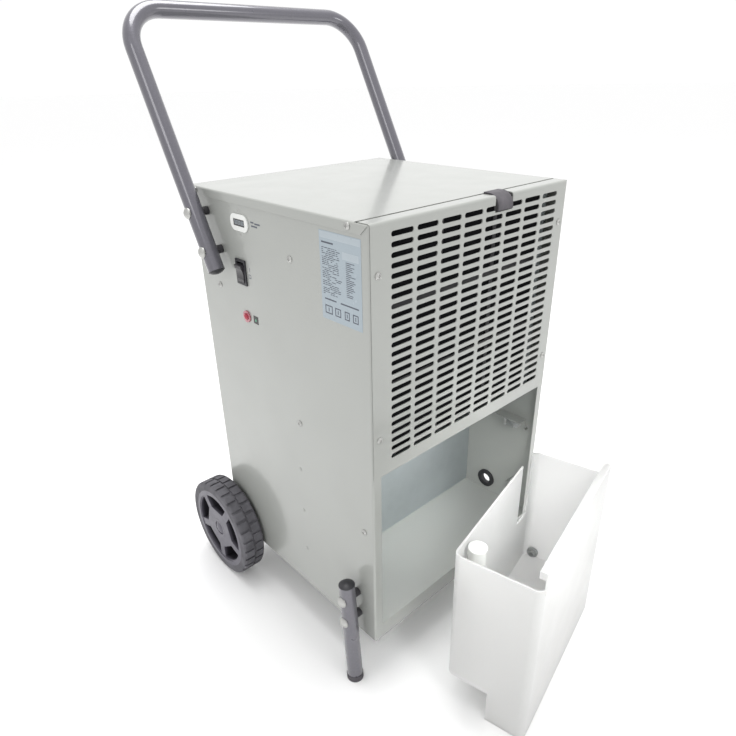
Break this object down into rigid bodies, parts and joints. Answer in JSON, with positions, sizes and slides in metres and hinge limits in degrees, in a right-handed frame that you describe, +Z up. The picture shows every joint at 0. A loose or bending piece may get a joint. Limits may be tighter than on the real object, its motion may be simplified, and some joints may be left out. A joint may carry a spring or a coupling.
{
  "type": "commercial dehumidifier",
  "caption": "Upright commercial dehumidifier with a slotted front grille, slide-out air filter, lift-out water tank, U-shaped push handle, rear wheels and front legs.",
  "frame": {"origin": "on the floor, at the middle of the whole machine's footprint with the tank standing in front", "axes": "+Z up, -Y towards the machine's front with the grille and the tank, +X towards its right-hand side as +Y is its rear"},
  "size_m": [0.497, 0.7294, 0.9785],
  "materials": {
    "cabinet_paint": "gloss powder coat, light warm grey",
    "galvanised": "galvanised sheet with a fine spangle",
    "frame_paint": "hammered grey paint",
    "zinc": "bright zinc plate",
    "black_plastic": "fine texture",
    "dark_grey_plastic": "fine texture",
    "wheel_plastic": "moulded, slightly glossy",
    "tyre": "matt",
    "grey_rubber": "matt",
    "black_rubber": "matt",
    "tank_plastic": "milky, slightly translucent",
    "white_plastic": "smooth",
    "light_grey_plastic": "smooth",
    "filter_net": "fine open net",
    "red_lens": "clear tinted",
    "meter_window": "smooth, glossy",
    "label_film": "printed film without any wording",
    "symbol_film": "printed film without any wording",
    "fin_aluminium": "plain",
    "copper_pipe": "plain copper",
    "compressor_paint": "satin black"
  },
  "bodies": {
    "cabinet": {"base_pan": "cabinet_paint", "side_panel_left": "cabinet_paint", "side_panel_right": "cabinet_paint", "rear_panel": "cabinet_paint", "front_grille_panel": "cabinet_paint", "top_cover": "cabinet_paint", "compartment_back_wall": "galvanised", "mid_deck": "galvanised", "filter_guides": "galvanised", "handle_tube": "frame_paint", "tube_plugs": "black_plastic", "frame_bolts": "zinc", "frame_spacers": "dark_grey_plastic", "frame_nuts": "zinc", "front_legs": "frame_paint", "leg_feet": "grey_rubber", "axle": "zinc", "axle_washers": "zinc", "hose_grommet": "black_rubber", "switch_bracket": "cabinet_paint", "tank_switch_body": "light_grey_plastic", "power_switch_housing": "black_plastic", "lamp_bezel": "red_lens", "lamp_lens": "red_lens", "hour_meter_case": "white_plastic", "hour_meter_window": "meter_window", "rating_label": "label_film", "symbol_plate": "symbol_film", "panel_screws": "zinc", "evaporator_fins": "fin_aluminium", "evaporator_tubes": "copper_pipe", "condenser_fins": "fin_aluminium", "condenser_tubes": "copper_pipe", "drip_tray": "dark_grey_plastic", "fan_shroud": "galvanised", "fan_motor": "fin_aluminium", "motor_bracket": "galvanised", "compressor": "compressor_paint", "compressor_feet": "black_rubber", "refrigerant_pipes": "copper_pipe", "control_box": "galvanised", "run_capacitor": "white_plastic", "cable_gland": "black_plastic"},
    "wheel_left": {"wheel_rim_left": "wheel_plastic", "tyre_left": "tyre", "hub_cap_left": "wheel_plastic"},
    "wheel_right": {"wheel_rim_right": "wheel_plastic", "tyre_right": "tyre", "hub_cap_right": "wheel_plastic"},
    "power_switch": {"power_switch_rocker": "dark_grey_plastic"},
    "air_filter": {"filter_frame": "dark_grey_plastic", "filter_mesh": "filter_net", "filter_pull_tab": "grey_rubber"},
    "fan": {"fan_blade": "dark_grey_plastic", "motor_shaft": "zinc"},
    "tank": {"tank_shell": "tank_plastic", "tank_drain_fitting": "light_grey_plastic", "float_guide": "white_plastic"},
    "float": {"tank_float": "white_plastic"},
    "switch_lever": {"tank_switch_lever": "zinc"}
  },
  "joints": [
    {"name": "wheel_left_spin", "type": "hinge", "parent": "cabinet", "child": "wheel_left", "pos_m": [-0.226, 0.244, 0.094], "axis": [1, 0, 0], "continuous": true},
    {"name": "wheel_right_spin", "type": "hinge", "parent": "cabinet", "child": "wheel_right", "pos_m": [0.226, 0.244, 0.094], "axis": [1, 0, 0], "continuous": true},
    {"name": "power_switch_tilt", "type": "hinge", "parent": "cabinet", "child": "power_switch", "pos_m": [-0.194, 0.1295, 0.617], "axis": [0, 1, 0], "range_deg": [0, 18]},
    {"name": "filter_slide", "type": "slide", "parent": "cabinet", "child": "air_filter", "axis": [0, 0, 1], "range_m": [0, 0.33]},
    {"name": "fan_spin", "type": "hinge", "parent": "cabinet", "child": "fan", "pos_m": [0, 0.054, 0.558], "axis": [0, 1, 0], "continuous": true},
    {"name": "tank_slide", "type": "slide", "parent": "cabinet", "child": "tank", "axis": [0.2164, -0.9763, 0], "range_m": [0, 0.3]},
    {"name": "float_rise", "type": "slide", "parent": "tank", "child": "float", "axis": [0, 0, 1], "range_m": [0, 0.012]},
    {"name": "switch_lever_press", "type": "hinge", "parent": "cabinet", "child": "switch_lever", "pos_m": [0.179, -0.092, 0.299], "axis": [0, 0, 1], "range_deg": [0, 10], "stiffness_Nm_per_rad": 0.05}
  ]
}
